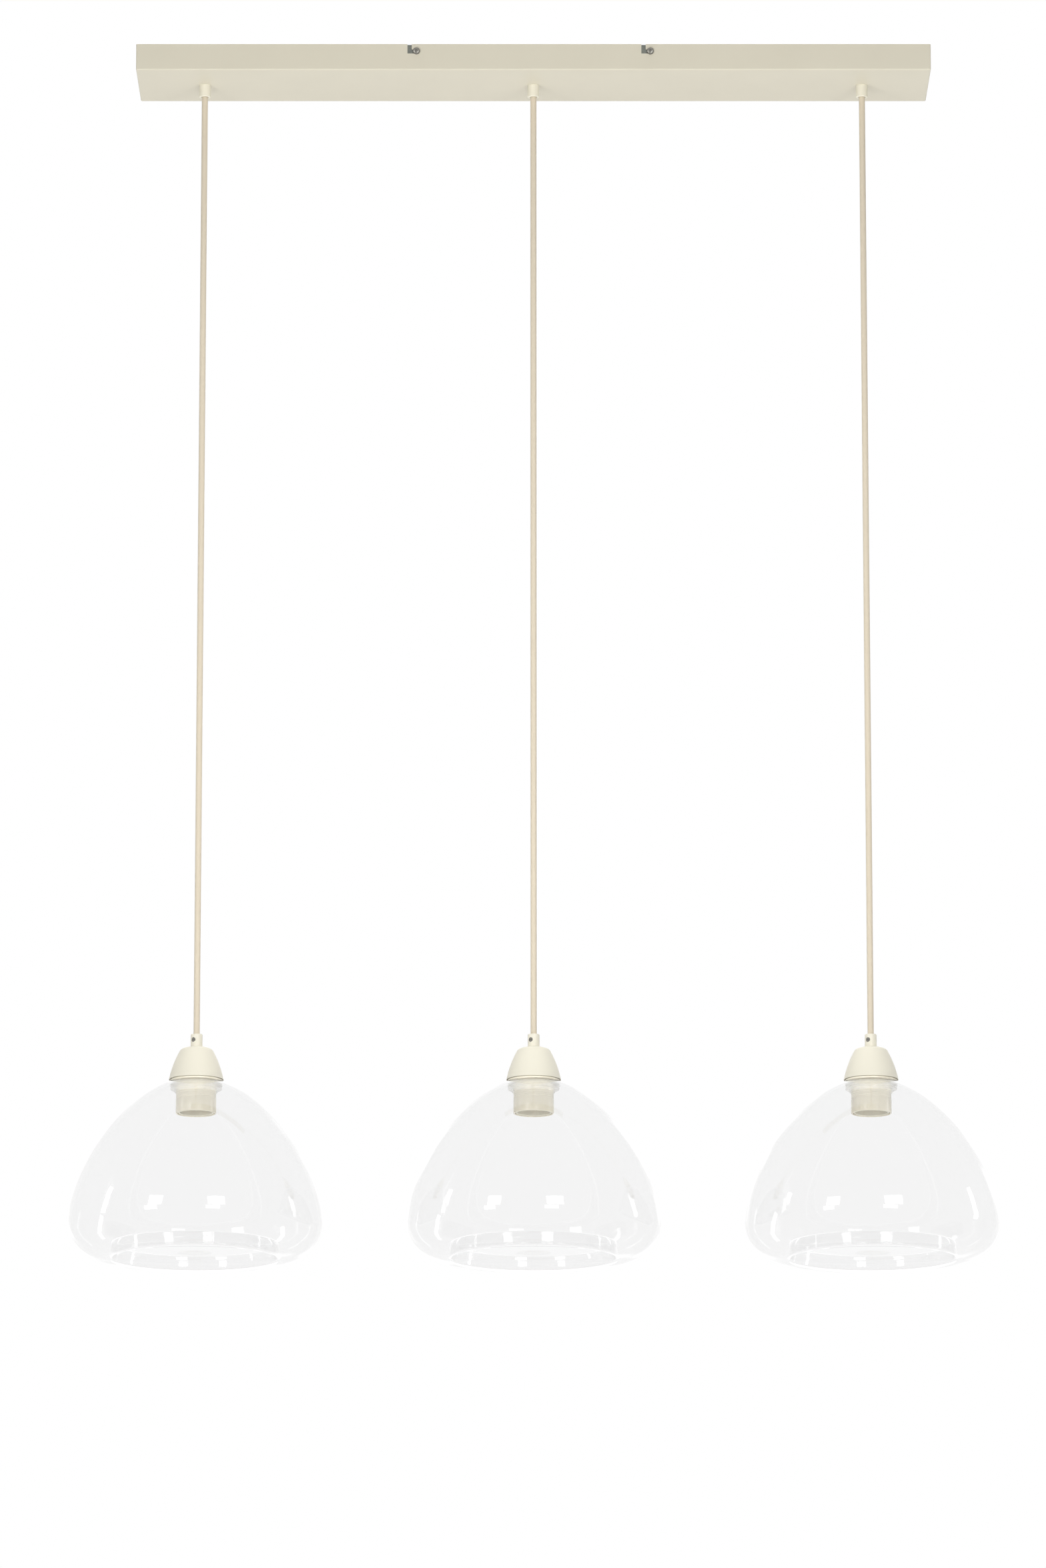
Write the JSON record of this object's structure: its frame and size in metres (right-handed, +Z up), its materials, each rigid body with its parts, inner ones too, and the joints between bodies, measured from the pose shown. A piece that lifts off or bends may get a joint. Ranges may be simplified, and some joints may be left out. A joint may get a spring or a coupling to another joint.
{
  "type": "linear island pendant",
  "caption": "Long narrow ceiling canopy with clear blown-glass shades, each hung on a straight fabric cord from a cone-capped lampholder.",
  "frame": {"origin": "centre of the ceiling bracket's top face, on the ceiling", "axes": "+X along the canopy to the picture's right, +Y away from the camera, +Z up; the canopy's pictured long side faces -Y"},
  "size_m": [1.0184, 0.2784, 1.3666],
  "materials": {
    "cream_paint": "satin powder coat",
    "galvanised_steel": "zinc",
    "plated_screw": "nickel plated",
    "brass": "bare",
    "cord_fabric": "woven",
    "brown_pvc": "matt",
    "blue_pvc": "matt",
    "green_yellow_pvc": "matt",
    "white_nylon": "matt",
    "white_plastic": "satin",
    "cream_plastic": "satin",
    "clear_plastic": "translucent",
    "shade_glass": "clear"
  },
  "bodies": {
    "canopy": {"canopy_tray": "cream_paint", "ceiling_bracket": "galvanised_steel", "canopy_screws": "plated_screw", "bracket_nuts": "galvanised_steel", "terminal_block": "white_nylon", "terminal_tubes": "brass", "terminal_screws": "plated_screw", "earth_stud": "brass", "brown_cores": "brown_pvc", "earth_cores": "green_yellow_pvc", "blue_cores": "blue_pvc", "grip_locknuts": "galvanised_steel", "cord_tails": "cord_fabric", "upper_grub_screws": "plated_screw", "left_upper_grip": "cream_paint", "centre_upper_grip": "cream_paint", "right_upper_grip": "cream_paint"},
    "left_neck": {"left_cord_neck": "cord_fabric"},
    "left_cord": {"left_cord": "cord_fabric"},
    "left_cord_end": {"left_cord_end": "cord_fabric"},
    "left_lamp": {"left_lower_grip": "cream_paint", "left_lower_grub_screw": "plated_screw", "left_cap": "cream_paint", "left_holder_dome": "cream_plastic", "left_holder_sleeve": "cream_plastic", "left_socket_insert": "white_plastic", "left_thread_shell": "brass", "left_socket_contacts": "brass", "left_lamp_leads": "brown_pvc", "left_shade_ring": "clear_plastic", "left_glass_shade": "shade_glass"},
    "centre_neck": {"centre_cord_neck": "cord_fabric"},
    "centre_cord": {"centre_cord": "cord_fabric"},
    "centre_cord_end": {"centre_cord_end": "cord_fabric"},
    "centre_lamp": {"centre_lower_grip": "cream_paint", "centre_lower_grub_screw": "plated_screw", "centre_cap": "cream_paint", "centre_holder_dome": "cream_plastic", "centre_holder_sleeve": "cream_plastic", "centre_socket_insert": "white_plastic", "centre_thread_shell": "brass", "centre_socket_contacts": "brass", "centre_lamp_leads": "brown_pvc", "centre_shade_ring": "clear_plastic", "centre_glass_shade": "shade_glass"},
    "right_neck": {"right_cord_neck": "cord_fabric"},
    "right_cord": {"right_cord": "cord_fabric"},
    "right_cord_end": {"right_cord_end": "cord_fabric"},
    "right_lamp": {"right_lower_grip": "cream_paint", "right_lower_grub_screw": "plated_screw", "right_cap": "cream_paint", "right_holder_dome": "cream_plastic", "right_holder_sleeve": "cream_plastic", "right_socket_insert": "white_plastic", "right_thread_shell": "brass", "right_socket_contacts": "brass", "right_lamp_leads": "brown_pvc", "right_shade_ring": "clear_plastic", "right_glass_shade": "shade_glass"}
  },
  "joints": [
    {"name": "left_swing", "type": "hinge", "parent": "canopy", "child": "left_neck", "pos_m": [-0.37, 0, -0.044], "axis": [1, 0, 0], "range_deg": [-20, 20]},
    {"name": "left_sway", "type": "hinge", "parent": "left_neck", "child": "left_cord", "pos_m": [-0.37, 0, -0.044], "axis": [0, 1, 0], "range_deg": [-1.9, 1.9]},
    {"name": "left_height", "type": "slide", "parent": "left_cord", "child": "left_cord_end", "axis": [0, 0, 1], "range_m": [0, 0.5], "deforming": ["left_cord"]},
    {"name": "left_turn", "type": "hinge", "parent": "left_cord_end", "child": "left_lamp", "pos_m": [-0.37, 0, -1.121], "axis": [0, 0, 1], "range_deg": [-90, 90]},
    {"name": "centre_swing", "type": "hinge", "parent": "canopy", "child": "centre_neck", "pos_m": [0, 0, -0.044], "axis": [1, 0, 0], "range_deg": [-20, 20]},
    {"name": "centre_sway", "type": "hinge", "parent": "centre_neck", "child": "centre_cord", "pos_m": [0, 0, -0.044], "axis": [0, 1, 0], "range_deg": [-1.9, 1.9]},
    {"name": "centre_height", "type": "slide", "parent": "centre_cord", "child": "centre_cord_end", "axis": [0, 0, 1], "range_m": [0, 0.5], "deforming": ["centre_cord"]},
    {"name": "centre_turn", "type": "hinge", "parent": "centre_cord_end", "child": "centre_lamp", "pos_m": [0, 0, -1.121], "axis": [0, 0, 1], "range_deg": [-90, 90]},
    {"name": "right_swing", "type": "hinge", "parent": "canopy", "child": "right_neck", "pos_m": [0.37, 0, -0.044], "axis": [1, 0, 0], "range_deg": [-20, 20]},
    {"name": "right_sway", "type": "hinge", "parent": "right_neck", "child": "right_cord", "pos_m": [0.37, 0, -0.044], "axis": [0, 1, 0], "range_deg": [-1.9, 1.9]},
    {"name": "right_height", "type": "slide", "parent": "right_cord", "child": "right_cord_end", "axis": [0, 0, 1], "range_m": [0, 0.5], "deforming": ["right_cord"]},
    {"name": "right_turn", "type": "hinge", "parent": "right_cord_end", "child": "right_lamp", "pos_m": [0.37, 0, -1.121], "axis": [0, 0, 1], "range_deg": [-90, 90]}
  ]
}
